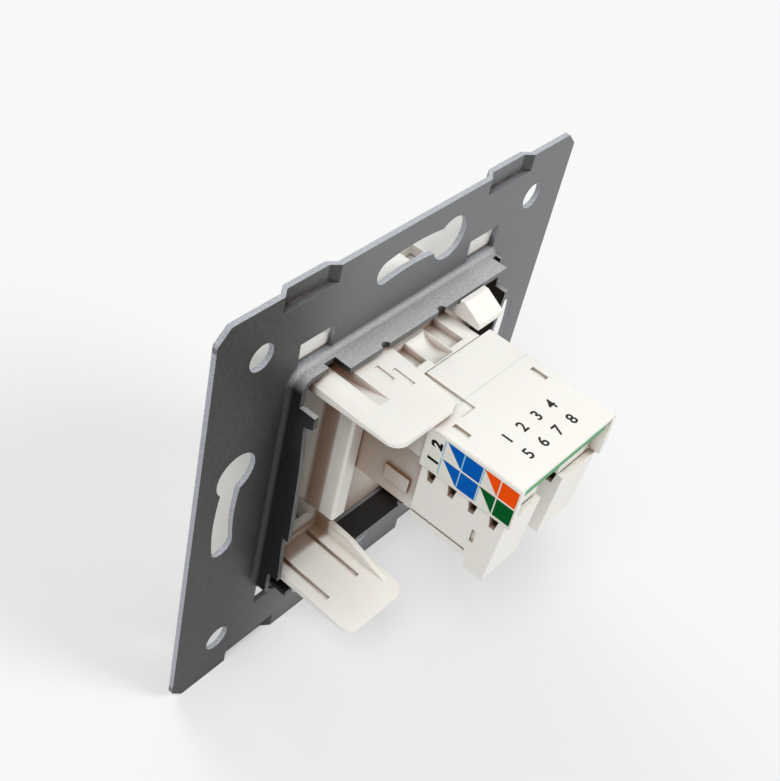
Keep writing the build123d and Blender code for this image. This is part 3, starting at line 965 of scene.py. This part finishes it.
@dataclass
class LancedSlits:
    """Torn burr that closes the slit behind each lanced tab of the plate. Lengths are in mm.

    Attributes:
        dresser: what dresses the burrs.
        middles: middle of each burr along X.
        half_width: half the length of a burr.
        height: distance of the slits from the middle of the plate.
        reach: how far a burr spans across its slit.
        depths: its rear and front face, along Y.
        bevel: width of its broken edges.
        cuts: cuts along its length.
    """

    dresser: Dresser
    middles: Tuple[float, float] = (-20.0, 20.0)
    half_width: float = 4.6
    height: float = 32.83
    reach: float = 0.42
    depths: Span = (-0.7, -1.2)
    bevel: float = 0.06
    cuts: int = 24

    def burr(self, name: str, middle: Vector) -> None:
        """Make one burr.

        Args:
            name: the piece's name.
            middle: where its middle lies, in mm.
        """
        rear, front = self.depths
        form = bmesh.new()
        bmesh.ops.create_cube(form, size=1.0)
        size = Vector((2 * self.half_width, rear - front, self.reach)) * MM
        bmesh.ops.scale(form, verts=form.verts, vec=size)
        bmesh.ops.translate(form, verts=form.verts, vec=middle * MM)
        bmesh.ops.bevel(
            form,
            geom=form.edges[:],
            offset=self.bevel * MM,
            affect="EDGES",
            segments=2,
            profile=0.5,
            material=-1,
        )
        long_edges = [edge for edge in form.edges if edge.calc_length() > self.half_width * MM]
        bmesh.ops.subdivide_edges(form, edges=long_edges, cuts=self.cuts)
        mesh = bpy.data.meshes.new(name)
        form.to_mesh(mesh)
        form.free()
        piece = bpy.data.objects.new(name, mesh)
        bpy.context.scene.collection.objects.link(piece)
        piece.data.materials.append(self.dresser.material(TORN_STEEL))
        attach(piece, BODY)
        log.info("built %s", name)

    def build(self) -> None:
        """Make the four burrs, the upper two first."""
        places = [(side, middle) for side in (1, -1) for middle in self.middles]
        for number, (side, middle) in enumerate(places, start=1):
            self.burr(f"slit_burr_{number}", Vector((middle, sum(self.depths) / 2, side * self.height)))


@dataclass(frozen=True)
class Lamp:
    """One large soft lamp, far away.

    Attributes:
        name: the lamp's name.
        towards: the direction from the object to the lamp.
        softness: its width as seen from the object, in degrees.
        power: its power in watts for each square metre.
    """

    name: str
    towards: Point
    softness: float
    power: float

    def hang(self) -> None:
        """Add the lamp to the scene."""
        data = bpy.data.lights.new(self.name, "SUN")
        data.energy = self.power
        data.angle = math.radians(self.softness)
        lamp = bpy.data.objects.new(self.name, data)
        lamp.rotation_euler = Vector(self.towards).to_track_quat("Z", "Y").to_euler()
        bpy.context.scene.collection.objects.link(lamp)
        log.info("hung %s", self.name)


@dataclass
class Studio:
    """Floor, soft lamps and the camera of the photograph.

    Attributes:
        eye: place of the camera, in metres.
        forward: its viewing direction.
        up: direction of the picture's top.
        view_angle: width of its view, in degrees.
        clip: nearest and furthest distance that it sees, in metres.
        floor_size: half the width of the floor, in metres.
        floor_tone: colour that the floor shows by its own light.
        paper_tone: colour of the floor where the camera sees it lit.
        bounce_tone: colour of the floor in the light that it throws back.
        floor_lit_share: share of the seen floor that the lamps light, the rest being its own light.
        surround_tone: colour of the surround.
        world_strength: light of the surround on the object.
        seen_strength: brightness of the surround itself.
        lamps: the lamps.
    """

    eye: Point = (0.1225, 0.0750, 0.1368)
    forward: Point = (-0.6341, -0.3801, -0.6734)
    up: Point = (-0.4343, -0.5454, 0.7169)
    view_angle: float = 31.43
    clip: Span = (0.005, 20.0)
    floor_size: float = 3.0
    floor_tone: RGBA = srgb(245, 245, 245)
    paper_tone: RGBA = (0.845, 0.845, 0.845, 1)
    bounce_tone: RGBA = (0.64, 0.64, 0.64, 1)
    floor_lit_share: float = 0.68
    surround_tone: RGBA = (1, 1, 1, 1)
    world_strength: float = 0.35
    seen_strength: float = 0.92
    lamps: Tuple[Lamp, ...] = (
        Lamp("key_lamp", (0.55, 0.2, 0.81), softness=26, power=1.35),
        Lamp("front_lamp", (-0.2, -0.8, 0.56), softness=32, power=0.85),
        Lamp("rear_lamp", (-0.35, 0.68, 0.64), softness=25, power=1.35),
    )

    def camera(self) -> None:
        """Place the camera."""
        data = bpy.data.cameras.new("camera")
        data.sensor_fit = "HORIZONTAL"
        data.angle = math.radians(self.view_angle)
        data.clip_start, data.clip_end = self.clip
        forward = Vector(self.forward).normalized()
        right = forward.cross(Vector(self.up)).normalized()
        turn = Matrix((right, right.cross(forward), -forward)).transposed().to_4x4()
        camera = bpy.data.objects.new("camera", data)
        camera.matrix_world = Matrix.Translation(self.eye) @ turn
        bpy.context.scene.collection.objects.link(camera)
        bpy.context.scene.camera = camera
        log.info("placed the camera")

    def seen_rays(self, wiring: Wiring) -> bpy.types.NodeSocket:
        """Tell the rays that show the surround, straight, mirrored or through glass, from those that light.

        Args:
            wiring: the wiring of the material or the world.

        Returns:
            The socket that is 1 for a ray that shows the surround.
        """
        rays = wiring.add("ShaderNodeLightPath").outputs
        seen = rays["Is Camera Ray"]
        for kind in ("Is Glossy Ray", "Is Transmission Ray"):
            seen = wiring.compute("MAXIMUM", seen, rays[kind])
        return seen

    def floor_paper(self) -> bpy.types.Material:
        """Make the floor's pale paper, which the camera sees evenly lit.

        Returns:
            The finished material.
        """
        material = bpy.data.materials.new("floor_paper")
        material.use_nodes = True
        material.node_tree.nodes.clear()
        wiring = Wiring(material.node_tree)
        seen = self.seen_rays(wiring)
        paper = wiring.add("ShaderNodeBsdfDiffuse")
        wiring.feed(paper.inputs["Color"], wiring.blend(seen, self.bounce_tone, self.paper_tone))
        glow = wiring.add("ShaderNodeEmission")
        wiring.feed(glow.inputs["Color"], self.floor_tone)
        mix = wiring.add("ShaderNodeMixShader")
        wiring.feed(mix.inputs["Fac"], wiring.compute("MULTIPLY", seen, 1 - self.floor_lit_share))
        wiring.feed(mix.inputs[1], paper.outputs["BSDF"])
        wiring.feed(mix.inputs[2], glow.outputs["Emission"])
        output = wiring.add("ShaderNodeOutputMaterial")
        wiring.feed(output.inputs["Surface"], mix.outputs["Shader"])
        return material

    def floor(self) -> None:
        """Lay a pale floor under the object."""
        form = bmesh.new()
        bmesh.ops.create_grid(form, x_segments=1, y_segments=1, size=self.floor_size)
        bmesh.ops.translate(form, verts=form.verts, vec=(0, 0, CAD_BOX[0][2]))
        mesh = bpy.data.meshes.new("floor")
        form.to_mesh(mesh)
        form.free()
        mesh.materials.append(self.floor_paper())
        floor = bpy.data.objects.new("floor", mesh)
        bpy.context.scene.collection.objects.link(floor)
        log.info("laid the floor")

    def world(self) -> None:
        """Light the room evenly, with a white surround."""
        world = bpy.data.worlds.new("studio")
        world.use_nodes = True
        wiring = Wiring(world.node_tree)
        back = world.node_tree.nodes["Background"].inputs
        wiring.feed(back["Color"], self.surround_tone)
        seen = self.seen_rays(wiring)
        strength = wiring.ramp(seen, 0.0, 1.0, self.world_strength, self.seen_strength, smooth=False)
        wiring.feed(back["Strength"], strength)
        bpy.context.scene.world = world

    def build(self) -> None:
        """Set up the whole studio."""
        self.world()
        self.floor()
        self.camera()
        for lamp in self.lamps:
            lamp.hang()
        bpy.context.scene.view_settings.view_transform = "Standard"


def main() -> None:
    """Set up the studio, dress the nodes, print the labels and the numbers, and close the slits."""
    logging.basicConfig(level=logging.INFO, format="%(name)s %(message)s")
    Studio().build()
    dresser = Dresser()
    dresser.dress()
    printer = Print(dresser)
    for side in Side:
        ColourCode(side, printer).build()
    TerminalNumbers(printer).build()
    LancedSlits(dresser).build()


if __name__ == "__main__":
    main()
